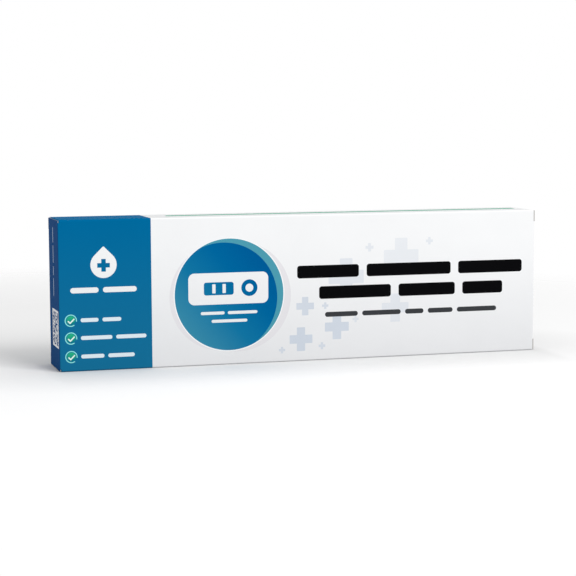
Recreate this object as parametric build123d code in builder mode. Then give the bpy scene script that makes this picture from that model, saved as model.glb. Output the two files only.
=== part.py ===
"""Slim folding carton of a single rapid test kit, standing on its long edge, with what it holds.

The frame: +X along the carton, the printed front faces -Y, +Z up. The origin is on the surface
that the carton stands on, under its middle. All sizes are in millimetres.
"""

from build123d import *
from math import asin, degrees, radians, tan
import os

# Carton
carton_length = 210.0
carton_depth = 24.0
carton_height = 62.0
board = 0.5  # thickness of the coated board
fold_inner_radius = 0.15  # inside of every crease
glue_flap_width = 12.0
glue_flap_taper = 15.0  # degrees, at both ends of the glue flap
seam_setback = 0.3  # the bottom panel's raw edge stops short of the back face

# Dust flaps, folded in from the top and bottom panels at both ends
dust_flap_reach = 17.0
dust_flap_gap = 0.3  # to the inside of the closure
dust_flap_clearance = 0.35  # to the path of the tuck, and to the wall beside the hinge
dust_flap_shoulder = 1.0
dust_flap_straight = 8.0  # straight part of the edge beside the tuck
dust_flap_tuck_taper = 2.5
dust_flap_hinge_taper = 5.0
dust_flap_corner = 2.0

# Closures: an end panel hinged on one face, and its tuck behind the other face
closure_inset = 0.3  # the end panel is this much lower than the carton at top and bottom
tuck_gap = 0.4  # between the tuck and the inside of the face that it slides behind
tuck_reach = 11.0
tuck_inset = 1.2
tuck_corner = 7.0
slit_length = 5.0
slit_width = 0.3

# Foil pouch with the test cassette sealed in it
foil_seal_thickness = 0.5
foil_corner = 2.0
foil_seal_width = 8.0
cassette_length = 72.0
cassette_width = 22.0
foil_pouch_thickness = 7.0

# Peel pouch with the swab sealed in it
swab_pouch_height = 25.0
swab_seal_thickness = 0.3
swab_pouch_thickness = 5.0
swab_seal_width = 6.0
swab_play = 7.0  # between each end of the swab and the seal
swab_tip_width = 5.0
swab_corner = 1.0

# Filled extraction tube and its dropper cap
tube_radius = 5.7
tube_length = 45.0
tube_end_radius = 2.4
tube_taper_length = 6.0
rim_radius = 6.0
rim_thickness = 1.2
neck_radius = 4.6
neck_length = 5.0
cap_wall = 1.1
cap_clearance = 0.05
cap_length = 8.0
cap_crown = 1.2
nozzle_radius = 1.7
nozzle_tip_radius = 1.0
nozzle_bore_radius = 0.5
nozzle_length = 4.5

# Folded leaflet
leaflet_thickness = 1.2
leaflet_fold_radius = 0.5

# Places of what the carton holds
layer_gap = 0.3  # between what stands side by side
nozzle_gap = 4.0  # between the dropper cap's nozzle and the right dust flaps
foil_pouch_start = 16.0  # from the left end
foil_pouch_end = 8.0  # from the tube
foil_pouch_headroom = 3.5  # below the top panel
swab_pouch_start = 21.0  # from the left end
swab_pouch_end = 13.0  # from the right end
leaflet_start = 24.0  # from the left end
leaflet_end = 38.0  # from the right end
leaflet_headroom = 8.5  # below the top panel

# Worked out from the values above
half_length = carton_length / 2
half_depth = carton_depth / 2
fold_radius = fold_inner_radius + board
mid_radius = fold_inner_radius + board / 2
flap_plane = half_length - board - dust_flap_gap  # outer face of the right dust flaps
tube_end = flap_plane - fold_radius
glue_flap_top = 2 * board
tuck_outer = carton_depth - board - tuck_gap  # radii about the hinge line
tuck_inner = tuck_outer - board
tool = 2 * fold_radius + glue_flap_top  # how far a cutting shape reaches past what it cuts
standing_height = carton_height - board - glue_flap_top  # room for what stands on the glue flap
leaflet_back = half_depth - board - layer_gap
leaflet_length = carton_length - leaflet_start - leaflet_end
leaflet_height = standing_height - leaflet_headroom
nozzle_end = flap_plane - board - nozzle_gap
rim_end = nozzle_end - nozzle_length - cap_length
tube_left = rim_end - rim_thickness - tube_length
foil_pouch_left = -half_length + foil_pouch_start
foil_pouch_length = tube_left - foil_pouch_end - foil_pouch_left
foil_pouch_height = standing_height - foil_pouch_headroom
foil_plane = leaflet_back - leaflet_thickness - layer_gap - foil_pouch_thickness / 2
swab_pouch_length = carton_length - swab_pouch_start - swab_pouch_end
swab_length = swab_pouch_length - 2 * (swab_seal_width + swab_play)
swab_plane = -half_depth + board + layer_gap + swab_pouch_thickness / 2
tube_axis_y = leaflet_back - leaflet_thickness - layer_gap - rim_radius
tube_axis_z = glue_flap_top + rim_radius
tube_axis = Axis((0, tube_axis_y, tube_axis_z), (1, 0, 0))


def turned(part):
    """The same shape at the other end: the two ends are alike when the carton is turned half round."""
    return part.rotate(Axis.Z, 180)


def seen_from_hinge(depth):
    """Direction, in degrees, from the hinge line to the point of the tuck this far inside the end face."""
    return 270 - degrees(asin(depth / tuck_outer))


# Cuts at one end of the folded sleeve
with BuildPart() as end_cut:
    # The top and bottom panels stop where their dust flaps fold in.
    for panel_level in (0, carton_height):
        with BuildSketch(Plane.XY.offset(panel_level)):
            with Locations((tube_end, 0)):
                Rectangle(tool, carton_depth - 2 * fold_radius, align=(Align.MIN, Align.CENTER))
        extrude(amount=tool, both=True)
    # The front panel's raw edge stops behind the end panel, and the back panel at its crease.
    panel_cuts = ((-half_depth, half_length - board), (half_depth, half_length - fold_radius))
    for panel_side, panel_end in panel_cuts:
        with BuildSketch(Plane.XY.offset(-tool)):
            with Locations((panel_end, panel_side)):
                Rectangle(tool, half_depth, align=(Align.MIN, Align.CENTER))
        extrude(amount=carton_height + 2 * tool)

# Back panel's half of the crease that the right closure hinges on, up to its mitre
with BuildPart() as hinge_crease:
    with BuildSketch(Plane.XY.offset(board + fold_radius)):
        with BuildLine():
            crease = CenterArc((half_length - fold_radius, half_depth - fold_radius), fold_radius, 90, -45)
            Polyline(
                crease @ 0,
                (half_length - fold_radius, half_depth - board),
                (half_length - board, half_depth - board),
                crease @ 1,
            )
        make_face()
    extrude(amount=carton_height - 2 * (board + fold_radius))

# Cuts at one end of the glued seam: the taper of the glue flap
with BuildPart() as seam_cut:
    taper_run = glue_flap_width * tan(radians(glue_flap_taper))
    with BuildSketch(Plane.XY.offset(board)):
        with BuildLine():
            Polyline(
                (tube_end, half_depth - fold_radius),
                (tube_end - taper_run, half_depth - glue_flap_width),
                (half_length, half_depth - glue_flap_width),
                (half_length, half_depth - fold_radius),
                close=True,
            )
        make_face()
    extrude(amount=board)
    # Beyond the bottom panel's end its raw edge stops too.
    with BuildSketch(Plane.XY.offset(-tool)):
        with Locations((tube_end, half_depth - fold_radius)):
            Rectangle(tool, fold_radius, align=(Align.MIN, Align.MIN))
    extrude(amount=tool + board)

# One dust flap, at the right end, folded down from the top panel
tuck_side = half_depth - tuck_inner + dust_flap_clearance
hinge_side = half_depth - board - dust_flap_clearance
shoulder_level = carton_height - dust_flap_shoulder
straight_level = carton_height - dust_flap_straight
tip_level = carton_height - dust_flap_reach
with BuildPart() as dust_flap:
    with BuildSketch(Plane.XZ.offset(-half_depth)):
        with BuildLine():
            FilletPolyline(
                (tube_end - board, carton_height - board / 2),
                (flap_plane - board / 2, carton_height - board / 2),
                (flap_plane - board / 2, tip_level),
                radius=mid_radius,
            )
        trace(line_width=board)
    extrude(amount=carton_depth)
    with BuildSketch(Plane.YZ.offset(tube_end - board)) as flap_outline:
        with BuildLine():
            Polyline(
                (-half_depth + fold_radius, carton_height),
                (-half_depth + fold_radius, shoulder_level),
                (tuck_side, shoulder_level),
                (tuck_side, straight_level),
                (tuck_side + dust_flap_tuck_taper, tip_level),
                (hinge_side - dust_flap_hinge_taper, tip_level),
                (hinge_side, shoulder_level),
                (half_depth - fold_radius, shoulder_level),
                (half_depth - fold_radius, carton_height),
                close=True,
            )
        make_face()
        fillet(flap_outline.vertices().group_by(Axis.Y)[0], dust_flap_corner)
    extrude(amount=tool, mode=Mode.INTERSECT)
lower_dust_flap = dust_flap.part.mirror(Plane.XY.offset(carton_height / 2))

# Carton body: four panels folded from one board and glued along the back edge of the bottom,
# with its four dust flaps
with BuildPart() as carton_body:
    with BuildSketch(Plane.YZ.offset(-half_length)):
        with Locations((0, carton_height / 2)):
            RectangleRounded(carton_depth, carton_height, fold_radius)
            RectangleRounded(
                carton_depth - 2 * board, carton_height - 2 * board, fold_inner_radius, mode=Mode.SUBTRACT
            )
        # At the glued corner the bottom panel ends in a raw edge, below the crease of the glue flap.
        with Locations((half_depth - fold_radius, board + fold_radius)):
            Rectangle(fold_radius, board + fold_radius, align=(Align.MIN, Align.MAX), mode=Mode.SUBTRACT)
        with Locations((half_depth - glue_flap_width, 0)):
            Rectangle(glue_flap_width - seam_setback, board, align=(Align.MIN, Align.MIN))
        with Locations((half_depth - glue_flap_width, board)):
            Rectangle(glue_flap_width - fold_radius, board, align=(Align.MIN, Align.MIN))
        with BuildLine():
            crease_centre = (half_depth - fold_radius, board + fold_radius)
            crease_out = CenterArc(crease_centre, fold_radius, -90, 90)
            crease_in = CenterArc(crease_centre, fold_inner_radius, -90, 90)
            Line(crease_out @ 0, crease_in @ 0)
            Line(crease_out @ 1, crease_in @ 1)
        make_face()
    extrude(amount=carton_length)
    add(end_cut.part, mode=Mode.SUBTRACT)
    add(turned(end_cut.part), mode=Mode.SUBTRACT)
    add(seam_cut.part, mode=Mode.SUBTRACT)
    add(seam_cut.part.mirror(Plane.YZ), mode=Mode.SUBTRACT)
    add(hinge_crease.part)
    add(turned(hinge_crease.part))
    add(dust_flap.part)
    add(lower_dust_flap)
    add(turned(dust_flap.part))
    add(turned(lower_dust_flap))
carton_body.part.label = "carton_body"

# Tuck of the right closure. It curves about the hinge line, so that it slides out behind the
# front panel as the closure opens.
root_angle = seen_from_hinge(board / 2)
tip_angle = seen_from_hinge(board + tuck_reach)
with BuildPart() as tuck:
    with BuildSketch():
        with BuildLine():
            outside = CenterArc((half_length, half_depth), tuck_outer, root_angle, tip_angle - root_angle)
            inside = CenterArc((half_length, half_depth), tuck_inner, root_angle, tip_angle - root_angle)
            Line(outside @ 0, inside @ 0)
            Line(outside @ 1, inside @ 1)
        make_face()
    extrude(amount=carton_height)
    with BuildSketch(Plane.XZ) as tuck_outline:
        with Locations((half_length, carton_height / 2)):
            Rectangle(board + tuck_reach, carton_height - 2 * tuck_inset, align=(Align.MAX, Align.CENTER))
        fillet(tuck_outline.vertices().group_by(Axis.X)[0], tuck_corner)
    extrude(amount=carton_depth, mode=Mode.INTERSECT)
    # The slits part the tuck's shoulders from the end panel.
    for slit_level in (0, carton_height - slit_length):
        with BuildSketch(Plane.XY.offset(slit_level)):
            with Locations((half_length, -half_depth)):
                Rectangle(board + slit_width, tool, align=(Align.MAX, Align.MIN))
        extrude(amount=slit_length, mode=Mode.SUBTRACT)

# Closure of the right end: the end panel, hinged on the back panel, and its tuck
with BuildPart() as right_closure:
    with BuildSketch(Plane.XY.offset(closure_inset)):
        with BuildLine():
            crease = CenterArc((half_length - fold_radius, half_depth - fold_radius), fold_radius, 0, 45)
            Polyline(
                crease @ 1,
                (half_length - board, half_depth - board),
                (half_length - board, -half_depth),
                (half_length, -half_depth),
                crease @ 0,
            )
        make_face()
    extrude(amount=carton_height - 2 * closure_inset)
    # Between the slits the front edge is a rounded crease.
    with BuildSketch(Plane.XY.offset(slit_length)):
        with Locations((half_length - board, -half_depth + board)):
            Rectangle(board, board, align=(Align.MIN, Align.MAX))
            Circle(board, mode=Mode.SUBTRACT)
    extrude(amount=carton_height - 2 * slit_length, mode=Mode.SUBTRACT)
    add(tuck.part)
right_closure.part.label = "right_closure"

# Closure of the left end: the same, hinged on the front panel and tucked behind the back panel
with BuildPart() as left_closure:
    add(turned(right_closure.part))
left_closure.part.label = "left_closure"

# Folded leaflet, standing against the back panel
with BuildPart() as leaflet:
    with BuildSketch(Plane.XY.offset(glue_flap_top)):
        with Locations((-half_length + leaflet_start, leaflet_back)):
            Rectangle(leaflet_length, leaflet_thickness, align=(Align.MIN, Align.MAX))
    extrude(amount=leaflet_height)
    fillet(leaflet.edges().filter_by(Axis.X).group_by(Axis.Z)[0], leaflet_fold_radius)
leaflet.part.label = "leaflet"

# Foil pouch, sealed round the test cassette, standing on the glue flap
foil_centre = (foil_pouch_left + foil_pouch_length / 2, glue_flap_top + foil_pouch_height / 2)
with BuildPart() as cassette_pouch:
    with BuildSketch(Plane.XZ.offset(-foil_plane)):
        with Locations(foil_centre):
            RectangleRounded(foil_pouch_length, foil_pouch_height, foil_corner)
    extrude(amount=foil_seal_thickness / 2, both=True)
    for side in (-1, 1):
        with BuildSketch(Plane.XZ.offset(-foil_plane + side * foil_seal_thickness / 2)):
            with Locations(foil_centre):
                RectangleRounded(
                    foil_pouch_length - 2 * foil_seal_width,
                    foil_pouch_height - 2 * foil_seal_width,
                    2 * foil_corner,
                )
        with BuildSketch(Plane.XZ.offset(-foil_plane + side * foil_pouch_thickness / 2)):
            with Locations(foil_centre):
                RectangleRounded(cassette_length, cassette_width, foil_corner)
        loft()
cassette_pouch.part.label = "cassette_pouch"

# Peel pouch, sealed round the swab, standing on the bottom panel behind the front panel
swab_centre = (half_length - swab_pouch_end - swab_pouch_length / 2, board + swab_pouch_height / 2)
with BuildPart() as swab_pouch:
    with BuildSketch(Plane.XZ.offset(-swab_plane)):
        with Locations(swab_centre):
            RectangleRounded(swab_pouch_length, swab_pouch_height, swab_corner)
    extrude(amount=swab_seal_thickness / 2, both=True)
    for side in (-1, 1):
        with BuildSketch(Plane.XZ.offset(-swab_plane + side * swab_seal_thickness / 2)):
            with Locations(swab_centre):
                RectangleRounded(
                    swab_pouch_length - 2 * swab_seal_width,
                    swab_pouch_height - 2 * swab_seal_width,
                    2 * swab_corner,
                )
        with BuildSketch(Plane.XZ.offset(-swab_plane + side * swab_pouch_thickness / 2)):
            with Locations(swab_centre):
                RectangleRounded(swab_length, swab_tip_width, swab_corner)
        loft()
swab_pouch.part.label = "swab_pouch"

# Extraction tube, filled and closed, lying along the glue flap
with BuildPart() as extraction_tube:
    with BuildSketch(Plane.XZ.offset(-tube_axis_y)):
        with BuildLine():
            Polyline(
                (tube_left, tube_axis_z),
                (tube_left, tube_axis_z + tube_end_radius),
                (tube_left + tube_taper_length, tube_axis_z + tube_radius),
                (tube_left + tube_length, tube_axis_z + tube_radius),
                (tube_left + tube_length, tube_axis_z + rim_radius),
                (rim_end, tube_axis_z + rim_radius),
                (rim_end, tube_axis_z + neck_radius),
                (rim_end + neck_length, tube_axis_z + neck_radius),
                (rim_end + neck_length, tube_axis_z),
                close=True,
            )
        make_face()
    revolve(axis=tube_axis)
extraction_tube.part.label = "extraction_tube"

# Dropper cap, pushed over the tube's neck down to its rim
cap_bore = neck_radius + cap_clearance
cap_crown_start = rim_end + cap_length - cap_crown
with BuildPart() as dropper_cap:
    with BuildSketch(Plane.XZ.offset(-tube_axis_y)):
        with BuildLine():
            Polyline(
                (rim_end, tube_axis_z + cap_bore),
                (rim_end, tube_axis_z + cap_bore + cap_wall),
                (cap_crown_start, tube_axis_z + cap_bore + cap_wall),
                (rim_end + cap_length, tube_axis_z + nozzle_radius),
                (nozzle_end, tube_axis_z + nozzle_tip_radius),
                (nozzle_end, tube_axis_z + nozzle_bore_radius),
                (cap_crown_start, tube_axis_z + nozzle_bore_radius),
                (rim_end + neck_length + cap_clearance, tube_axis_z + cap_bore),
                close=True,
            )
        make_face()
    revolve(axis=tube_axis)
dropper_cap.part.label = "dropper_cap"

os.makedirs("parts", exist_ok=True)
export_step(carton_body.part, "parts/carton_body.step")
export_step(right_closure.part, "parts/right_closure.step")
export_step(left_closure.part, "parts/left_closure.step")
export_step(leaflet.part, "parts/leaflet.step")
export_step(cassette_pouch.part, "parts/cassette_pouch.step")
export_step(swab_pouch.part, "parts/swab_pouch.step")
export_step(extraction_tube.part, "parts/extraction_tube.step")
export_step(dropper_cap.part, "parts/dropper_cap.step")
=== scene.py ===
"""Looks of a slim folding carton for one rapid test kit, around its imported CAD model.

The row frame is in metres: +X along the carton, the printed front faces -Y, +Z is up, and the
origin is on the floor under the carton's middle. The print is measured in millimetres on the
carton's faces, from the left end and from the floor.
"""

import math

import bpy
import numpy as np
from mathutils import Matrix, Vector


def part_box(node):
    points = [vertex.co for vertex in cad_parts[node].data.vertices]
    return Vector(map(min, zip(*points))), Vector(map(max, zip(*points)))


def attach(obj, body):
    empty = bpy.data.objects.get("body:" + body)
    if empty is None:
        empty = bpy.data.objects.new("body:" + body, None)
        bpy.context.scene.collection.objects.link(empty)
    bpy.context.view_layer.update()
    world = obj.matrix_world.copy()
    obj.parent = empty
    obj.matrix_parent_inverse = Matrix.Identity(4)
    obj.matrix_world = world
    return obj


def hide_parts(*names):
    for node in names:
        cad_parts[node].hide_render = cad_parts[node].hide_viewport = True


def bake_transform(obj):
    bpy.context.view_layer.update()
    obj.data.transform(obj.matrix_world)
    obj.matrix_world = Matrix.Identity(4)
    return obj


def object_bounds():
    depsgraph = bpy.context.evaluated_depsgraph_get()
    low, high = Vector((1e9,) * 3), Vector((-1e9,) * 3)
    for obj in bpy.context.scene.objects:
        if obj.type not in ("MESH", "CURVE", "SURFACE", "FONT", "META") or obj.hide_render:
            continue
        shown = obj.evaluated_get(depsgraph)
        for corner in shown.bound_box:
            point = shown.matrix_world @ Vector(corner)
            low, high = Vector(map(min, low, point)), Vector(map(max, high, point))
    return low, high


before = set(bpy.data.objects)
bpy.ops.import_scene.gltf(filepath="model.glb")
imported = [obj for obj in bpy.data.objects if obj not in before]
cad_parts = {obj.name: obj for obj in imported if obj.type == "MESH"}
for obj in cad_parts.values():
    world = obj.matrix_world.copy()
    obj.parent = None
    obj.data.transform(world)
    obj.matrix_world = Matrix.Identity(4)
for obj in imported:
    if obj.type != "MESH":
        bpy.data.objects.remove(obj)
CAD_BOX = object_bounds()

bl_info = {
    "name": "Test kit carton",
    "version": (1, 0, 0),
    "blender": (4, 2, 0),
    "location": "View3D > Sidebar > Carton",
    "description": "Prints and finishes a folding carton, dresses what it holds and lights the stage",
    "category": "Object",
}

MM = 0.001
LOW, HIGH = CAD_BOX
LENGTH = (HIGH[0] - LOW[0]) / MM
DEPTH = (HIGH[1] - LOW[1]) / MM
HEIGHT = (HIGH[2] - LOW[2]) / MM
HALF_LENGTH = LENGTH / 2
HALF_DEPTH = DEPTH / 2
BOARD = 0.5  # thickness of the board
SKIN = 0.25  # what lies less deep than this under an outer face is its coated side
FOLD_RADIUS = 0.15  # inside of a crease
SLIT_LENGTH = 5.0  # of the slits in a tuck's fold, from the top and from the bottom
TUCK_GAP = 0.4  # between a tuck and the panel that it slides behind


def linear(red, green, blue):
    """Scene-linear colour of a display colour given as 0 to 255."""
    def channel(value):
        """One channel by the rule of the sRGB standard: straight near black, then a power."""
        value /= 255
        return value / 12.92 if value <= 0.04045 else ((value + 0.055) / 1.055) ** 2.4
    return (channel(red), channel(green), channel(blue), 1.0)


class Finish:
    """A material, and the nodes that its patterns are worked out with.

    A pattern is made of masks, which are 1 where something is and 0 elsewhere. Its place is the
    point on the object in millimetres, and a plane is that place seen flat, as (across, up, 0).
    """

    def __init__(self, name):
        self.material = bpy.data.materials.new(name)
        self.material.use_nodes = True
        self.tree = self.material.node_tree
        self.tree.nodes.clear()
        self.output = self.node("ShaderNodeOutputMaterial")
        self.shader = self.node("ShaderNodeBsdfPrincipled")
        self.tree.links.new(self.shader.outputs[0], self.output.inputs[0])
        self.places = self.node("ShaderNodeTexCoord").outputs
        self.place = self.scaled(self.places["Object"], 1 / MM)

    def node(self, kind, **settings):
        """A new node with its settings."""
        made = self.tree.nodes.new(kind)
        for key, value in settings.items():
            setattr(made, key, value)
        return made

    def feed(self, socket, value):
        """Links an output to the socket, or writes a constant on it."""
        if isinstance(value, bpy.types.NodeSocket):
            self.tree.links.new(value, socket)
        else:
            socket.default_value = value

    def set(self, **values):
        """Feeds the shader's sockets by name, with a space for each underscore."""
        for key, value in values.items():
            self.feed(self.shader.inputs[key.replace("_", " ")], value)

    def math(self, operation, *values, clamp=False):
        """Number that one of Blender's operations gives for other numbers."""
        made = self.node("ShaderNodeMath", operation=operation, use_clamp=clamp)
        for socket, value in zip(made.inputs, values):
            self.feed(socket, value)
        return made.outputs[0]

    def vector(self, operation, *values):
        """Vector, length, distance or dot product that one of Blender's operations gives."""
        made = self.node("ShaderNodeVectorMath", operation=operation)
        for socket, value in zip(made.inputs, values):
            self.feed(socket, value)
        return made.outputs["Value" if operation in ("LENGTH", "DISTANCE", "DOT_PRODUCT") else "Vector"]

    def scaled(self, vector, factor):
        """The vector times a number."""
        made = self.node("ShaderNodeVectorMath", operation="SCALE")
        self.feed(made.inputs[0], vector)
        self.feed(made.inputs["Scale"], factor)
        return made.outputs[0]

    def parts(self, vector):
        """The vector's three numbers."""
        return self.node_with("ShaderNodeSeparateXYZ", vector).outputs

    def join(self, *numbers):
        """The vector of three numbers."""
        return self.node_with("ShaderNodeCombineXYZ", *numbers).outputs[0]

    def node_with(self, kind, *values):
        """A new node whose first inputs get these values."""
        made = self.node(kind)
        for socket, value in zip(made.inputs, values):
            self.feed(socket, value)
        return made

    def mix(self, factor, below, above):
        """The colour above, laid over the colour below as far as the factor says."""
        made = self.node("ShaderNodeMix", data_type="RGBA")
        self.feed(made.inputs[0], factor)
        self.feed(made.inputs[6], below)
        self.feed(made.inputs[7], above)
        return made.outputs[2]

    def dimmed(self, colour, factor):
        """The colour times a number."""
        made = self.node("ShaderNodeMix", data_type="RGBA", blend_type="MULTIPLY")
        made.inputs[0].default_value = 1.0
        self.feed(made.inputs[6], colour)
        self.feed(made.inputs[7], self.join(factor, factor, factor))
        return made.outputs[2]

    def ramp(self, factor, *stops):
        """Colours at places along a factor from 0 to 1."""
        made = self.node("ShaderNodeValToRGB")
        elements = made.color_ramp.elements
        while len(elements) < len(stops):
            elements.new(1.0)
        for element, (place, colour) in zip(elements, stops):
            element.position = place
            element.color = colour
        self.feed(made.inputs[0], factor)
        return made.outputs[0]

    def span(self, value, low, high, to_low=0.0, to_high=1.0):
        """The value carried evenly from one range to another, and held at its ends."""
        return self.node_with("ShaderNodeMapRange", value, low, high, to_low, to_high).outputs[0]

    def both(self, first, second):
        """Where both masks are, or one mask weakened by a number."""
        return self.math("MULTIPLY", first, second)

    def either(self, *masks):
        """Where any of the masks is."""
        joined = masks[0]
        for mask in masks[1:]:
            joined = self.math("MAXIMUM", joined, mask)
        return joined

    def below(self, value, limit):
        """Where the value is under its limit."""
        return self.math("LESS_THAN", value, limit)

    def above(self, value, limit):
        """Where the value is over its limit."""
        return self.math("GREATER_THAN", value, limit)

    def without(self, mask, hole):
        """The mask less a hole in it."""
        return self.math("SUBTRACT", mask, hole, clamp=True)

    def noise(self, scale, detail=2.0, place=None, roughness=0.5):
        """Noise with so many humps per millimetre."""
        made = self.node_with("ShaderNodeTexNoise", self.place if place is None else place)
        made.inputs["Scale"].default_value = scale
        made.inputs["Detail"].default_value = detail
        made.inputs["Roughness"].default_value = roughness
        return made.outputs[0]

    def bump(self, height, strength, distance):
        """Relief of the height, which is from 0 to 1, times the distance in millimetres."""
        made = self.node("ShaderNodeBump")
        made.inputs["Strength"].default_value = strength
        made.inputs["Distance"].default_value = distance * MM
        self.feed(made.inputs["Height"], height)
        self.set(Normal=made.outputs[0])

    def bar(self, plane, left, right, low, high, radius):
        """A rectangle with rounded corners: what is less than the radius from the inner rectangle."""
        centre = ((left + right) / 2, (low + high) / 2, 0)
        reach = ((right - left) / 2 - radius, (high - low) / 2 - radius, 0)
        offset = self.vector("ABSOLUTE", self.vector("SUBTRACT", plane, centre))
        outside = self.vector("MAXIMUM", self.vector("SUBTRACT", offset, reach), (0, 0, 0))
        return self.below(self.vector("LENGTH", outside), radius)

    def line(self, plane, level, thickness, words, radius=None):
        """Words as plain bars on one level, each given by its start and its end."""
        half = thickness / 2
        rounding = half * 0.99 if radius is None else radius
        return self.either(*(
            self.bar(plane, start, end, level - half, level + half, rounding) for start, end in words))

    def disc(self, plane, across, up, radius):
        """What is less than the radius from the middle."""
        return self.below(self.vector("DISTANCE", plane, (across, up, 0)), radius)

    def plus(self, plane, across, up, size):
        """Two crossed bars, about a third as wide as they are long."""
        half = size * 0.5
        arm = size * 0.18
        rounding = size * 0.025
        return self.either(
            self.bar(plane, across - half, across + half, up - arm, up + arm, rounding),
            self.bar(plane, across - arm, across + arm, up - half, up + half, rounding))

    def tilted(self, plane, across, up, degrees):
        """The plane, measured from a point and along directions turned by so many degrees."""
        made = self.node("ShaderNodeVectorRotate", rotation_type="Z_AXIS")
        self.feed(made.inputs["Vector"], self.vector("SUBTRACT", plane, (across, up, 0)))
        made.inputs["Angle"].default_value = math.radians(-degrees)
        return made.outputs[0]


def node_box(name):
    """Lowest and highest corner of a CAD node, in millimetres."""
    low, high = (np.array(corner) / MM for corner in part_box(name))
    return low, high


def cover(names, material):
    """Gives CAD nodes a material."""
    for name in names:
        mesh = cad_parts[name].data
        mesh.materials.clear()
        mesh.materials.append(material)


def numbering(rows, columns):
    """Numbers of a grid's points, row by row."""
    return np.arange(rows * columns).reshape(rows, columns)


def cells(number, closed_across=False):
    """Faces of a grid of point numbers: each cell between neighbours in the two directions is one.

    When the grid is closed across, its last column joins the first one.
    """
    if closed_across:
        number = np.concatenate([number, number[:, :1]], axis=1)
    corners = (number[:-1, :-1], number[:-1, 1:], number[1:, 1:], number[1:, :-1])
    return np.stack(corners, axis=-1).reshape(-1, 4)


def shape(name, points, faces, smooth=False):
    """Object of the points, in millimetres, and of faces that are rows of four point numbers."""
    mesh = bpy.data.meshes.new(name)
    mesh.from_pydata((points.reshape(-1, 3) * MM).tolist(), [], faces.tolist())
    mesh.polygons.foreach_set("use_smooth", np.full(len(faces), smooth))
    mesh.update()
    made = bpy.data.objects.new(name, mesh)
    bpy.context.scene.collection.objects.link(made)
    return made


# The words of the print are plain bars: (level, thickness, (start and end of each word)).
TITLE = (
    (37.8, 5.4, ((101.0, 128.5), (132.0, 170.5), (174.0, 204.0))),
    (28.8, 5.4, ((110.7, 143.0), (146.5, 172.5), (176.0, 194.8))),
)
SUBTITLE = (19.4, 2.1, ((113.3, 128.0), (130.0, 147.5), (149.5, 158.0), (160.0, 171.5), (173.5, 192.0)))
BADGE = (18.6, 43.4)  # the drop's round part, from the left end and from the floor
BADGE_RADIUS = 5.4
NAME_LINE = (33.2, 2.2, ((4.8, 16.4), (18.2, 32.2)))
CLAIM_WORDS = 1.6  # thickness of their bars
CLAIMS = (  # level, (start and end of each word)
    (21.0, ((8.8, 16.2), (17.8, 25.6))),
    (13.7, ((8.8, 21.8), (23.4, 36.0))),
    (6.1, ((8.8, 18.4), (20.0, 31.0))),
)
CLAIM_ICON = 4.8  # from the left end to the middle of each ring with a tick
RING_INSIDE = 2.12
RING_OUTSIDE = 2.5
BUTTON_RADIUS = 1.85  # of the disc behind each tick
PLUS_SIGNS = (  # from the left end, from the floor, size, strength
    (147.7, 43.3, 15.8, 0.35), (122.8, 35.2, 15.8, 0.5), (104.5, 23.3, 7.8, 0.9),
    (102.6, 9.3, 10.1, 1.0), (118.6, 14.0, 10.7, 0.95), (145.0, 21.2, 12.2, 0.45),
    (133.3, 47.5, 3.6, 0.45), (160.6, 49.6, 3.2, 0.45), (113.4, 23.2, 2.8, 0.8),
    (111.9, 6.1, 3.0, 0.8), (94.2, 5.0, 2.8, 0.8), (127.0, 17.0, 2.8, 0.5),
)
EMBLEM = (71.5, 29.4)  # its middle, from the left end and from the floor
EMBLEM_RADIUS = 23.4
CODE_SIDE = 15.4
CODE_PLACE = (-2.6, 17.0)  # its middle, across the left end and from the floor
CODE_CELLS = 21
RULE = (47.6, 205.5, -1.0, 3.8)  # on the top panel: its two ends, and its two sides from the middle
DUST_FLAP = (0.6, 1.0)  # the outer faces of the dust flaps are so far in from the ends
SQUARE_ON = 0.75  # a face looks along an axis where its normal's part on that axis is over this


class CartonPrint(bpy.types.PropertyGroup):
    """Inks and board of the carton."""
    band_width: bpy.props.FloatProperty(
        name="Band width", description="Width of the coloured band round the left end",
        default=38.4 * MM, unit="LENGTH", precision=4)
    band_high: bpy.props.FloatVectorProperty(
        name="Band, high", description="Ink of the band at the carton's top edge", size=4,
        subtype="COLOR", default=linear(0, 106, 158))
    band_low: bpy.props.FloatVectorProperty(
        name="Band, low", description="Ink of the band at the carton's bottom edge", size=4,
        subtype="COLOR", default=linear(24, 113, 154))
    end_ink: bpy.props.FloatVectorProperty(
        name="Left end", description="Ink of the left end panel", size=4,
        subtype="COLOR", default=linear(28, 74, 127))
    rule_ink: bpy.props.FloatVectorProperty(
        name="Rule", description="Ink of the thin rule along the top panel", size=4,
        subtype="COLOR", default=linear(48, 172, 136))
    white: bpy.props.FloatVectorProperty(
        name="White", description="Coated side of the board where nothing is printed", size=4,
        subtype="COLOR", default=linear(246, 247, 248))
    # Painted shade: the white front is made darker towards its bottom edge, as if less light fell there.
    painted_bottom_shade: bpy.props.FloatVectorProperty(
        name="White, low", description="Tint that the white front fades to at the bottom edge", size=4,
        subtype="COLOR", default=linear(234, 235, 237))
    fibre: bpy.props.FloatVectorProperty(
        name="Fibre", description="Reverse and raw edges of the board", size=4,
        subtype="COLOR", default=linear(214, 211, 204))
    sheen: bpy.props.FloatProperty(
        name="Roughness", description="Roughness of the coated side", default=0.5, min=0.0, max=1.0,
        subtype="FACTOR")


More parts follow.
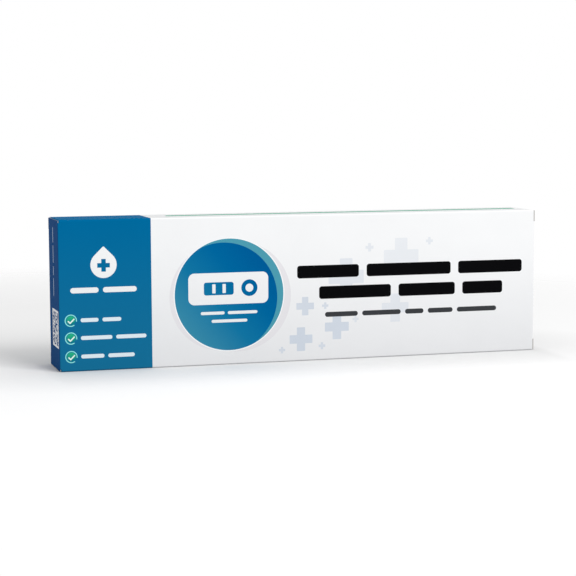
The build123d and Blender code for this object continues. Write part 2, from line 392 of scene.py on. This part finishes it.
class ContentsFinish(bpy.types.PropertyGroup):
    """What the carton holds."""
    foil: bpy.props.FloatVectorProperty(
        name="Foil", description="Metal side of the cassette's pouch", size=4,
        subtype="COLOR", default=linear(205, 207, 210))
    paper: bpy.props.FloatVectorProperty(
        name="Peel paper", description="Paper side of the swab's pouch", size=4,
        subtype="COLOR", default=linear(236, 236, 232))
    plastic: bpy.props.FloatVectorProperty(
        name="Cap", description="Plastic of the dropper cap", size=4,
        subtype="COLOR", default=linear(238, 239, 240))
    crimp: bpy.props.FloatProperty(
        name="Crimp", description="Distance between the ribs of a pouch's seal", default=1.2 * MM,
        unit="LENGTH", precision=4)


class StageLight(bpy.types.PropertyGroup):
    """Camera, lights and floor."""
    lens: bpy.props.FloatProperty(
        name="Lens", description="Focal length of the camera in millimetres", default=105.25, min=1.0)
    dome: bpy.props.FloatProperty(
        name="Dome", description="Strength of the even light from all round", default=0.54, min=0.0)
    lamp: bpy.props.FloatProperty(
        name="Lamp", description="Power of the soft lamp on the right, in watts", default=11.2, min=0.0)
    fill: bpy.props.FloatProperty(
        name="Fill", description="Power of the low, wide lamp on the left, in watts", default=3.3, min=0.0)
    floor: bpy.props.FloatVectorProperty(
        name="Floor", description="Colour of the floor", size=4, subtype="COLOR",
        default=linear(188, 188, 188))
    floor_seen: bpy.props.FloatProperty(
        name="Floor, seen", description="How much paler the camera sees the floor than the lamps do",
        default=2.2, min=0.0)


def drop(paint, plane, across, up, radius):
    """A drop: a disc, and a square on its corner above it whose sides touch the disc."""
    point = paint.tilted(plane, across, up, 45)
    return paint.either(
        paint.disc(plane, across, up, radius),
        paint.bar(point, 0, radius, 0, radius, radius * 0.08))


def tick(paint, plane, across, up, size):
    """Two strokes at right angles, the longer one up to the right."""
    point = paint.tilted(plane, across - size * 0.12, up - size * 0.42, 45)
    half = size * 0.11
    return paint.either(
        paint.bar(point, -half, size, -half, half, half * 0.9),
        paint.bar(point, -half, half, -half, size * 0.52, half * 0.9))


def pictogram(paint, plane):
    """A test cassette in plain outline: a body, a long window with two lines, and a round well."""
    across = EMBLEM[0] - 0.4
    up = EMBLEM[1] + 2.6
    body = paint.bar(plane, across - 17.2, across + 17.2, up - 6.6, up + 6.6, 2.6)
    window = paint.bar(plane, across - 10.6, across + 2.2, up - 2.7, up + 2.7, 1.0)
    strips = paint.either(
        paint.bar(plane, across - 7.0, across - 5.6, up - 1.9, up + 1.9, 0.2),
        paint.bar(plane, across - 2.6, across - 1.2, up - 1.9, up + 1.9, 0.2))
    well = paint.without(
        paint.disc(plane, across + 9.0, up, 3.5), paint.disc(plane, across + 9.0, up, 1.7))
    shown = paint.without(paint.without(body, paint.without(window, strips)), well)
    lines = paint.either(
        paint.line(plane, up - 10.2, 1.25, ((across - 12.0, across - 1.8), (across - 0.4, across + 12.4))),
        paint.line(plane, up - 13.6, 1.25, ((across - 7.4, across + 8.0),)))
    return paint.either(shown, lines)


def front_print(paint, plane, ink, white):
    """Colour of the front panel at a point of its plane."""
    across, up, _ = paint.parts(plane)
    # Painted shade: the white darkens towards the bottom edge, and the pictogram and the badge take this
    # shaded white too.
    white = paint.mix(paint.span(up, 0, HEIGHT * 0.8), ink.painted_bottom_shade, white)
    colour = white
    for centre_across, centre_up, size, strength in PLUS_SIGNS:
        mark = paint.both(paint.plus(plane, centre_across, centre_up, size), strength)
        colour = paint.mix(mark, colour, linear(209, 217, 228))
    for shift, radius in ((3.6, EMBLEM_RADIUS - 0.3), (-3.2, EMBLEM_RADIUS - 1.0)):
        halo = paint.disc(plane, EMBLEM[0] + shift, EMBLEM[1] - 1.0, radius)
        colour = paint.mix(paint.both(halo, 0.8), colour, linear(230, 228, 232))
    colour = paint.mix(paint.disc(plane, *EMBLEM, EMBLEM_RADIUS + 0.45), colour, linear(250, 252, 253))
    slope = paint.vector("DOT_PRODUCT", paint.vector("SUBTRACT", plane, (*EMBLEM, 0)), (0.76, 0.65, 0))
    shade = paint.ramp(
        paint.span(slope, -EMBLEM_RADIUS, EMBLEM_RADIUS),
        (0.0, linear(58, 140, 170)), (0.35, linear(18, 118, 164)),
        (0.65, linear(0, 102, 158)), (1.0, linear(0, 88, 150)))
    disc = paint.disc(plane, *EMBLEM, EMBLEM_RADIUS)
    crescent = paint.without(disc, paint.disc(plane, EMBLEM[0] - 2.7, EMBLEM[1] - 1.6, EMBLEM_RADIUS))
    colour = paint.mix(disc, colour, shade)
    colour = paint.mix(crescent, colour, linear(78, 156, 176))
    colour = paint.mix(pictogram(paint, plane), colour, white)
    colour = paint.mix(paint.line(plane, *SUBTITLE), colour, linear(62, 64, 67))
    title = paint.either(*(paint.line(plane, *row, radius=1.2) for row in TITLE))
    colour = paint.mix(title, colour, linear(12, 12, 14))
    band = paint.mix(paint.span(up, 0, HEIGHT), ink.band_low, ink.band_high)
    badge = paint.without(
        drop(paint, plane, *BADGE, BADGE_RADIUS), paint.plus(plane, BADGE[0], BADGE[1] - 0.2, 5.2))
    band = paint.mix(paint.either(badge, paint.line(plane, *NAME_LINE)), band, white)
    for level, words in CLAIMS:
        reach = paint.vector("DISTANCE", plane, (CLAIM_ICON, level, 0))
        gap = paint.bar(paint.tilted(plane, CLAIM_ICON, level, -32), 0, 3.2, -0.85, 0.85, 0.1)
        ring = paint.both(paint.below(reach, RING_OUTSIDE), paint.above(reach, RING_INSIDE))
        band = paint.mix(paint.without(ring, gap), band, linear(150, 240, 232))
        rising = paint.span(paint.math("SUBTRACT", up, level), -1.8, 1.8)
        button = paint.mix(rising, linear(6, 118, 140), linear(46, 186, 132))
        band = paint.mix(paint.below(reach, BUTTON_RADIUS), band, button)
        band = paint.mix(tick(paint, plane, CLAIM_ICON, level, 2.5), band, linear(236, 252, 248))
        band = paint.mix(paint.line(plane, level, CLAIM_WORDS, words), band, linear(228, 240, 247))
    return paint.mix(paint.below(across, ink.band_width / MM), colour, band)


def code_square(paint, plane):
    """The light parts of a square of made-up modules, each dark or light by a noise on its number."""
    across, up = CODE_PLACE
    half = CODE_SIDE / 2
    square = paint.bar(plane, across - half, across + half, up - half, up + half, 0.3)
    inner = half - 0.9
    from_corner = paint.vector("SUBTRACT", plane, (across - inner, up - inner, 0))
    module = paint.vector("FLOOR", paint.scaled(from_corner, CODE_CELLS / (2 * inner)))
    noise = paint.node("ShaderNodeTexWhiteNoise", noise_dimensions="2D")
    paint.feed(noise.inputs["Vector"], module)
    dark = paint.both(
        paint.above(noise.outputs["Value"], 0.5),
        paint.bar(plane, across - inner, across + inner, up - inner, up + inner, 0.02))
    return paint.without(square, dark)


def end_print(paint, plane, ink, white):
    """Colour of the left end panel at a point (across it, from the floor)."""
    pale = linear(198, 212, 230)
    colour = paint.mix(code_square(paint, plane), ink.end_ink, white)
    upright = paint.tilted(plane, 0.6, 30.0, 90)
    return paint.mix(
        paint.line(upright, 0, 0.9, ((0.0, 7.5), (8.6, 12.4), (13.6, 21.0), (22.0, 28.4))), colour, pale)


def board_reverse(paint, ink):
    """Colour of the board's uncoated side: fibres in two near shades."""
    fibres = paint.noise(1.8, 4.0, roughness=0.65)
    return paint.mix(paint.span(fibres, 0.3, 0.7), ink.fibre, linear(228, 226, 220))


def board_finish(name, ink, is_closure):
    """Coated and printed outside, plain fibre inside and on the raw edges."""
    paint = Finish(name)
    x, y, z = paint.parts(paint.place)
    facing = paint.parts(paint.vector("ABSOLUTE", paint.places["Normal"]))
    to_end = paint.math("SUBTRACT", HALF_LENGTH, paint.math("ABSOLUTE", x))
    to_side = paint.math("SUBTRACT", HALF_DEPTH, paint.math("ABSOLUTE", y))
    to_edge = paint.math("MINIMUM", z, paint.math("SUBTRACT", HEIGHT, z))
    if is_closure:
        side = 1 if name == "right_board" else -1
        depth = paint.math("MINIMUM", to_end, to_side)
        free_side = paint.below(y, 0) if side == 1 else paint.above(y, 0)
        slit_edge = paint.both(paint.below(to_side, 0.06), paint.above(facing[1], 0.98))
        slit_edge = paint.both(paint.both(slit_edge, paint.below(to_edge, SLIT_LENGTH)), free_side)
        raw = paint.either(paint.above(facing[2], SQUARE_ON), slit_edge)
        hinge = (HALF_LENGTH * side, HALF_DEPTH * side, 0)
        radius = paint.vector("DISTANCE", paint.join(x, y, 0.0), hinge)
        tuck_face = DEPTH - BOARD - TUCK_GAP
        coated_tuck = paint.both(paint.above(radius, tuck_face - SKIN), paint.above(to_end, BOARD))
        coated = paint.either(paint.below(depth, SKIN), coated_tuck)
    else:
        depth = paint.math("MINIMUM", to_side, to_edge)
        flap = paint.both(paint.below(to_end, DUST_FLAP[1]), paint.above(to_end, DUST_FLAP[0]))
        raw = paint.without(paint.above(facing[0], SQUARE_ON), flap)
        coated = paint.either(paint.below(depth, SKIN), paint.both(flap, paint.above(facing[0], 0.3)))
    coated = paint.without(coated, raw)
    plane = paint.join(paint.math("ADD", x, HALF_LENGTH), z, 0.0)
    across = paint.parts(plane)[0]
    white = ink.white
    if name == "carton_board":
        on_front = paint.below(y, -HALF_DEPTH + SKIN)
        band = paint.mix(paint.span(z, 0, HEIGHT), ink.band_low, ink.band_high)
        plain = paint.mix(paint.below(across, ink.band_width / MM), white, band)
        rule = paint.both(
            paint.above(z, HEIGHT - SKIN),
            paint.bar(paint.join(across, y, 0.0), *RULE, 0.3))
        plain = paint.mix(rule, plain, ink.rule_ink)
        bleed = paint.both(flap, paint.above(to_edge, 3.0))
        plain = paint.mix(bleed, plain, white)
        outside = paint.mix(on_front, plain, front_print(paint, plane, ink, white))
    elif name == "left_board":
        outside = end_print(paint, paint.join(y, z, 0.0), ink, white)
    else:
        outside = white
    reverse = board_reverse(paint, ink)
    if is_closure:
        reverse = paint.mix(raw, reverse, linear(186, 184, 181))
    if name == "left_board":
        reverse = paint.mix(paint.both(raw, 0.65), reverse, ink.end_ink)
    elif name == "carton_board":
        bled = paint.both(raw, paint.below(x, -HALF_LENGTH + 2))
        reverse = paint.mix(paint.both(bled, 0.8), reverse, ink.end_ink)
    colour = paint.mix(coated, reverse, outside)
    blotches = paint.span(paint.noise(0.05, 2.0), 0.35, 0.65, 0.985, 1.0)
    paint.set(
        Base_Color=paint.dimmed(colour, blotches),
        Roughness=paint.span(coated, 0, 1, 0.85, ink.sheen), Specular_IOR_Level=0.002)
    paint.bump(paint.noise(2.6, 3.0), 0.12, 0.02)
    return paint.material


POUCH_STEP = 0.8  # between the points of a pouch's surface, inside its seals
RIB_DEPTH = 0.3  # of a seal's ribs, as a share of half the seal's thickness
FOLD_DEPTH = 0.10  # of the long wrinkles on the slope, as a share of what the pouch rises
FLUTTER_DEPTH = 0.06  # the same for the short wrinkles on the slope
FLAT_FLUTTER = 0.02  # the same for the short wrinkles everywhere inside the seals
LONG_WAVES = (5, 9.0, 26.0)  # how many sines, and their shortest and longest wave
SHORT_WAVES = (6, 5.0, 12.0)


def steps(half, seal, fine):
    """Places from -half to half: close together on the seals, further apart between them."""
    rim = np.linspace(half - seal, half, int(round(seal / fine)) + 1)
    middle = np.linspace(-(half - seal), half - seal, int(round(2 * (half - seal) / POUCH_STEP)) + 1)
    return np.concatenate([-rim[::-1], middle[1:-1], rim])


def waves(across, up, seed, count, shortest, longest):
    """Sum of sines in several directions, each of its own length, divided so that it stays in -1 to 1."""
    random = np.random.default_rng(seed)
    total = np.zeros_like(across)
    for _ in range(count):
        angle, phase = random.uniform(0, 2 * math.pi, 2)
        length = random.uniform(shortest, longest)
        total += np.sin((across * math.cos(angle) + up * math.sin(angle)) * 2 * math.pi / length + phase)
    return total / count


def pouch(name, node, held, seal, seal_thickness, corner, fine, crimp, seed):
    """A flat pouch sealed round what it holds, as one closed surface.

    Its two sides are heights over a grid with rounded corners. The height is half the seal's
    thickness on the seal, less the ribs of the crimp. From there it rises evenly to what the pouch
    holds, less its wrinkles, which are ridges of a sum of sines on the slope. It is as large as
    the CAD node, held is (along, high), seal is the seal's width, and fine is the step on it.
    """
    low, high = node_box(node)
    middle = (low + high) / 2
    half_along, half_thick, half_high = (high - low) / 2
    along = steps(half_along, seal, fine)
    upright = steps(half_high, seal, fine)
    across, up = np.meshgrid(along, upright / half_high, indexing="ij")
    to_side = np.clip(half_along - np.abs(across), 0, corner)
    cut = corner - np.sqrt(np.clip(corner ** 2 - (corner - to_side) ** 2, 0, None))
    up = up * (half_high - cut)
    rise_along = (half_along - seal - np.abs(across)) / (half_along - seal - held[0] / 2)
    rise_high = (half_high - seal - np.abs(up)) / (half_high - seal - held[1] / 2)
    rise = np.clip(np.minimum(rise_along, rise_high), 0, 1)
    rounded = rise * (1.12 - 0.12 * rise)
    slope = 4 * rise * (1 - rise)
    from_edge = np.minimum(half_along - np.abs(across), half_high - np.abs(up))
    ribs = np.where(from_edge < seal, 0.5 - 0.5 * np.cos(2 * math.pi * from_edge / crimp), 0.0)
    sides = []
    for side in (-1, 1):
        folds = 1 - np.abs(waves(across, up, seed + 1 + side, *LONG_WAVES)) * 2
        flutter = 0.5 + 0.5 * waves(across, up, seed + 20 + side, *SHORT_WAVES)
        sag = (FOLD_DEPTH * np.clip(folds, 0, 1) + FLUTTER_DEPTH * flutter) * slope
        sag = sag + FLAT_FLUTTER * flutter * (rise > 0)
        sealed = seal_thickness / 2 * (1 - RIB_DEPTH * ribs)
        height = sealed + (half_thick - seal_thickness / 2) * np.clip(rounded - sag, 0, 1)
        sides.append(np.stack([middle[0] + across, middle[1] + side * height, middle[2] + up], axis=-1))
    number = numbering(*across.shape)
    near = cells(number)[:, ::-1]
    far = cells(number + across.size)
    border = np.concatenate([number[:-1, 0], number[-1, :-1], number[:0:-1, -1], number[0, :0:-1]])
    following = np.roll(border, -1)
    rim = np.stack([border, border + across.size, following + across.size, following], axis=-1)
    return shape(name, np.stack(sides), np.concatenate([near, far, rim]), smooth=True)


class CARTON_OT_board(bpy.types.Operator):
    """Print and finish the carton and its two closures"""
    bl_idname = "carton.board"
    bl_label = "Carton and closures"

    def execute(self, context):
        ink = context.scene.carton_print
        cover(["carton_body"], board_finish("carton_board", ink, False))
        cover(["right_closure"], board_finish("right_board", ink, True))
        cover(["left_closure"], board_finish("left_board", ink, True))
        return {"FINISHED"}


def plain_finish(name, colour, roughness, **sockets):
    """One colour, faintly mottled, on a slightly uneven surface."""
    paint = Finish(name)
    mottle = paint.span(paint.noise(0.4, 3.0), 0.3, 0.7, 0.96, 1.0)
    paint.set(Base_Color=paint.dimmed(colour, mottle), Roughness=roughness, **sockets)
    paint.bump(paint.noise(1.5, 3.0), 0.2, 0.03)
    return paint.material


class CARTON_OT_pouches(bpy.types.Operator):
    """Make the foil pouch and the swab's peel pouch"""
    bl_idname = "carton.pouches"
    bl_label = "Pouches"

    def execute(self, context):
        finish = context.scene.contents_finish
        crimp = finish.crimp / MM
        foil = pouch(
            "foil_pouch", "cassette_pouch", held=(72, 22), seal=8.0, seal_thickness=0.5, corner=2.0,
            fine=0.2, crimp=crimp, seed=11)
        foil.data.materials.append(plain_finish("foil", finish.foil, 0.3, Metallic=1.0))
        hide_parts("cassette_pouch")
        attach(foil, "carton")
        peel = pouch(
            "peel_pouch", "swab_pouch", held=(150, 5), seal=6.0, seal_thickness=0.3, corner=1.0,
            fine=0.25, crimp=crimp, seed=5)
        peel.data.materials.append(plain_finish("peel_paper", finish.paper, 0.7))
        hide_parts("swab_pouch")
        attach(peel, "carton")
        return {"FINISHED"}


LEAFLET_LAYER = 0.2  # from one folded layer to the next, on the leaflet's edges
LEAFLET_ROW = 2.0  # from one row of its print to the next
LEAFLET_MARGIN = 5.0


def leaflet_finish():
    """Thin paper: darker fine lines on its edges, painted shade for the gaps between the folded layers,
    and rows of grey dashes on its sides.
    """
    paint = Finish("leaflet_paper")
    x, y, z = paint.parts(paint.place)
    facing = paint.parts(paint.vector("ABSOLUTE", paint.places["Normal"]))
    layer = paint.math("FRACT", paint.math("MULTIPLY", y, 1 / LEAFLET_LAYER))
    # Painted shade: a darker line in each folded layer's step on the edges, for the gap between layers.
    edge = paint.both(paint.below(facing[1], 0.7), paint.below(layer, 0.3))
    low, high = node_box("leaflet")
    rows = paint.math("MULTIPLY", z, 1 / LEAFLET_ROW)
    word = paint.noise(0.9, 1.0, place=paint.join(x, paint.math("FLOOR", rows), 0.0))
    dashes = paint.both(paint.below(paint.math("FRACT", rows), 0.38), paint.above(word, 0.46))
    low_x, _, low_z = low + LEAFLET_MARGIN
    high_x, _, high_z = high - LEAFLET_MARGIN
    column = paint.bar(paint.join(x, z, 0.0), low_x, high_x, low_z, high_z, 0.1)
    printed = paint.both(dashes, paint.both(column, paint.above(facing[1], 0.7)))
    # Lays the painted shade of the layer gaps over the paper.
    colour = paint.mix(paint.both(edge, 0.45), linear(240, 240, 237), linear(150, 150, 148))
    colour = paint.mix(paint.both(printed, 0.6), colour, linear(96, 100, 108))
    paint.set(Base_Color=colour, Roughness=0.85, Specular_IOR_Level=0.1)
    paint.bump(paint.noise(1.2, 3.0), 0.3, 0.03)
    return paint.material


class CARTON_OT_tube(bpy.types.Operator):
    """Finish the extraction tube and its dropper cap"""
    bl_idname = "carton.tube"
    bl_label = "Tube and cap"

    def execute(self, context):
        finish = context.scene.contents_finish
        clear = plain_finish(
            "clear_plastic", linear(226, 234, 238), 0.25, Transmission_Weight=0.5, IOR=1.46)
        cover(["extraction_tube"], clear)
        cover(["dropper_cap"], plain_finish("white_plastic", finish.plastic, 0.35))
        return {"FINISHED"}


class CARTON_OT_leaflet(bpy.types.Operator):
    """Finish the folded leaflet"""
    bl_idname = "carton.leaflet"
    bl_label = "Leaflet"

    def execute(self, context):
        cover(["leaflet"], leaflet_finish())
        return {"FINISHED"}


CREASE_INSET = 1.3  # the strips of the creases stop short of the carton's top and bottom
CREASE_PROUD = 0.04  # how far a strip stands out of the board's inner face
CREASE_DEPTH = 0.2  # how deep its back lies in the board
CREASE_RUN = 1.6  # how far it goes from the crease along each of the two panels
CREASE_POINTS = 9  # along each panel, and round the crease
CREASE_LEVELS = 25


def crease_strip(name, side):
    """Board that bends on the inside of a closure's hinge, as a thin band along the hinge line.

    Its profile is a loop: along the inside of the panel, round the crease as a quarter of a circle,
    along the inside of the end panel, and back behind their faces. The loop is repeated at even
    levels. The side is 1 at the right end and -1 at the left end, which is the same turned half
    round.
    """
    bend = np.linspace(0, math.pi / 2, CREASE_POINTS)
    turn_x = HALF_LENGTH - BOARD - FOLD_RADIUS
    turn_y = HALF_DEPTH - BOARD - FOLD_RADIUS
    profiles = []
    for radius in (FOLD_RADIUS - CREASE_PROUD, FOLD_RADIUS + CREASE_DEPTH):
        arc = (turn_x, turn_y) + radius * np.stack([np.sin(bend), np.cos(bend)], axis=-1)
        first = np.linspace((turn_x - CREASE_RUN, turn_y + radius), arc[0], CREASE_POINTS)[:-1]
        last = np.linspace(arc[-1], (turn_x + radius, turn_y - CREASE_RUN), CREASE_POINTS)[1:]
        profiles.append(np.concatenate([first, arc, last]))
    loop = np.concatenate([profiles[0], profiles[1][::-1]]) * side
    levels = np.linspace(CREASE_INSET, HEIGHT - CREASE_INSET, CREASE_LEVELS)
    flat = np.broadcast_to(loop, (len(levels), *loop.shape))
    upright = np.broadcast_to(levels[:, None, None], (*flat.shape[:2], 1))
    number = numbering(*flat.shape[:2])
    half = len(loop) // 2
    lower, upper = (np.stack([ends[:half], ends[half:][::-1]]) for ends in (number[0], number[-1]))
    faces = np.concatenate([cells(number, closed_across=True), cells(lower)[:, ::-1], cells(upper)])
    return shape(name, np.concatenate([flat, upright], axis=-1), faces)


class CARTON_OT_creases(bpy.types.Operator):
    """Join each closure to its panel with board that bends on the inside of the crease"""
    bl_idname = "carton.creases"
    bl_label = "Creases"

    def execute(self, context):
        ink = context.scene.carton_print
        paint = Finish("crease_board")
        paint.set(Base_Color=board_reverse(paint, ink), Roughness=0.85, Specular_IOR_Level=0.01)
        for name, body, side in (("right_crease", "right_flap", 1), ("left_crease", "left_flap", -1)):
            strip = crease_strip(name, side)
            strip.data.materials.append(paint.material)
            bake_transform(strip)
        return {"FINISHED"}


CAMERA_PLACE = (-0.20969, -0.68824, 0.10329)  # in metres
CAMERA_TURN = (16.603, 5.827, -0.263)  # to the right, down, and about the line of sight, in degrees


def camera_matrix():
    """Place and directions of the camera: it looks along -Z of its own frame."""
    turn, down, roll = (math.radians(angle) for angle in CAMERA_TURN)
    ahead = Vector((math.sin(turn) * math.cos(down), math.cos(turn) * math.cos(down), -math.sin(down)))
    right = Vector((math.cos(turn), -math.sin(turn), 0))
    up = right.cross(ahead)
    rolled_right = math.cos(roll) * right + math.sin(roll) * up
    rolled_up = math.cos(roll) * up - math.sin(roll) * right
    matrix = Matrix((rolled_right, rolled_up, -ahead)).transposed().to_4x4()
    matrix.translation = CAMERA_PLACE
    return matrix


LAMP_SIZE = 0.8  # in metres, like the lamps' places
KEY_PLACE = (0.5, -1.0, 0.72)
FILL_PLACE = (-1.3, -0.35, 0.3)
FLOOR_REACH = 3000.0  # from the middle of the floor to its edges
FLOOR_POINTS = 9  # on each side of the floor
FADE_MIDDLE = (-60.0, 60.0, 0.0)
FADE_START = 170.0  # from the fade's middle: here the floor starts to fade into the white
FADE_END = 420.0
# Painted shade on the floor: darker round the carton and before its front, standing in for its contact
# shadow.
SHADE_ROUND = (0, 55, 0.85, 1)  # distances from the carton, and how bright the floor is there
SHADE_BEFORE = (0, 42, 0.87, 1)  # the same for the shade before the front panel
ENDS_COUNT = 6.0  # how much faster the shade before the front ends to its left and right


def dome_light(scene, power):
    """White from all round: full where it is seen or mirrored, and of the given strength as light."""
    world = bpy.data.worlds.new("world")
    scene.world = world
    world.use_nodes = True
    tree = world.node_tree
    tree.nodes.clear()
    output = tree.nodes.new("ShaderNodeOutputWorld")
    rays = tree.nodes.new("ShaderNodeLightPath")
    shown = tree.nodes.new("ShaderNodeMath")
    shown.operation = "MAXIMUM"
    tree.links.new(rays.outputs["Is Camera Ray"], shown.inputs[0])
    seen = tree.nodes.new("ShaderNodeMath")
    seen.operation = "MAXIMUM"
    tree.links.new(rays.outputs["Is Glossy Ray"], seen.inputs[0])
    tree.links.new(rays.outputs["Is Transmission Ray"], seen.inputs[1])
    tree.links.new(seen.outputs[0], shown.inputs[1])
    strength = tree.nodes.new("ShaderNodeMapRange")
    tree.links.new(shown.outputs[0], strength.inputs[0])
    strength.inputs[3].default_value = power
    strength.inputs[4].default_value = 1.0
    background = tree.nodes.new("ShaderNodeBackground")
    background.inputs["Color"].default_value = (1, 1, 1, 1)
    tree.links.new(strength.outputs[0], background.inputs["Strength"])
    tree.links.new(background.outputs[0], output.inputs[0])


def floor_finish(light):
    """Matt floor that fades into the white round it, with a soft painted shade where the carton stands."""
    paint = Finish("floor")
    distance = paint.vector("DISTANCE", paint.place, FADE_MIDDLE)
    fade = paint.span(distance, FADE_START, FADE_END)
    rays = paint.node("ShaderNodeLightPath").outputs
    seen = paint.either(rays["Is Camera Ray"], rays["Is Glossy Ray"], rays["Is Transmission Ray"])
    matt = paint.node("ShaderNodeBsdfDiffuse")
    offset = paint.vector(
        "SUBTRACT", paint.vector("ABSOLUTE", paint.place), (HALF_LENGTH, HALF_DEPTH, 0))
    beside = paint.vector("MAXIMUM", offset, (0, 0, 0))
    past_end = paint.math("MULTIPLY", paint.parts(beside)[0], ENDS_COUNT)
    ahead = paint.math("ADD", paint.parts(paint.place)[1], HALF_DEPTH)
    before = paint.vector("LENGTH", paint.join(past_end, ahead, 0.0))
    # Painted contact shade: the floor's colour is darkened near the carton and before its front panel.
    painted_contact_shade = paint.both(
        paint.span(paint.vector("LENGTH", beside), *SHADE_ROUND), paint.span(before, *SHADE_BEFORE))
    paler = paint.both(paint.span(seen, 0, 1, 1, light.floor_seen), painted_contact_shade)
    paint.feed(matt.inputs["Color"], paint.dimmed(light.floor, paler))
    clear = paint.node("ShaderNodeBsdfTransparent")
    blend = paint.node("ShaderNodeMixShader")
    paint.feed(blend.inputs[0], fade)
    paint.feed(blend.inputs[1], matt.outputs[0])
    paint.feed(blend.inputs[2], clear.outputs[0])
    paint.feed(paint.output.inputs[0], blend.outputs[0])
    return paint.material


class CARTON_OT_stage(bpy.types.Operator):
    """Set up the floor, the light and the camera"""
    bl_idname = "carton.stage"
    bl_label = "Stage"

    def execute(self, context):
        scene = context.scene
        light = scene.stage_light
        scene.view_settings.view_transform = "Standard"
        data = bpy.data.cameras.new("camera")
        data.lens = light.lens
        data.sensor_width = 36.0
        data.clip_end = 50.0
        camera = bpy.data.objects.new("camera", data)
        scene.collection.objects.link(camera)
        camera.matrix_world = camera_matrix()
        scene.camera = camera
        dome_light(scene, light.dome)

        lamps = (("key_lamp", light.lamp, KEY_PLACE), ("fill_lamp", light.fill, FILL_PLACE))
        for name, power, place in lamps:
            lamp_data = bpy.data.lights.new(name, "AREA")
            lamp_data.energy = power
            lamp_data.size = LAMP_SIZE
            lamp = bpy.data.objects.new(name, lamp_data)
            scene.collection.objects.link(lamp)
            turn = (-Vector(place)).to_track_quat("-Z", "Y").to_matrix().to_4x4()
            lamp.matrix_world = Matrix.Translation(place) @ turn

        edge = np.linspace(-FLOOR_REACH, FLOOR_REACH, FLOOR_POINTS)
        across, back = np.meshgrid(edge, edge, indexing="ij")
        grid = np.stack([across, back, np.zeros_like(across)], axis=-1)
        floor = shape("floor", grid, cells(numbering(FLOOR_POINTS, FLOOR_POINTS))[:, ::-1])
        floor.data.materials.append(floor_finish(light))
        return {"FINISHED"}


class CARTON_PT_panel(bpy.types.Panel):
    """Sizes, inks and light of the carton"""
    bl_idname = "CARTON_PT_panel"
    bl_label = "Test kit carton"
    bl_space_type = "VIEW_3D"
    bl_region_type = "UI"
    bl_category = "Carton"

    def draw(self, context):
        for group in SETTINGS:
            box = self.layout.box()
            held = getattr(context.scene, group)
            for name in held.__annotations__:
                box.prop(held, name)
        for operator in OPERATORS:
            self.layout.operator(operator.bl_idname)


SETTINGS = {
    "carton_print": CartonPrint,
    "contents_finish": ContentsFinish,
    "stage_light": StageLight,
}
OPERATORS = (
    CARTON_OT_board,
    CARTON_OT_creases,
    CARTON_OT_pouches,
    CARTON_OT_tube,
    CARTON_OT_leaflet,
    CARTON_OT_stage,
)


def register():
    """Adds the settings, the operators and the panel."""
    for group in (*SETTINGS.values(), *OPERATORS, CARTON_PT_panel):
        bpy.utils.register_class(group)
    for name, group in SETTINGS.items():
        setattr(bpy.types.Scene, name, bpy.props.PointerProperty(type=group))


def unregister():
    """Takes them away again."""
    for name in SETTINGS:
        delattr(bpy.types.Scene, name)
    for group in (CARTON_PT_panel, *OPERATORS, *SETTINGS.values()):
        bpy.utils.unregister_class(group)


def main():
    """Makes the scene: adds the settings and runs every operator."""
    register()
    for operator in OPERATORS:
        area, name = operator.bl_idname.split(".")
        getattr(getattr(bpy.ops, area), name)()


if __name__ == "__main__":
    main()
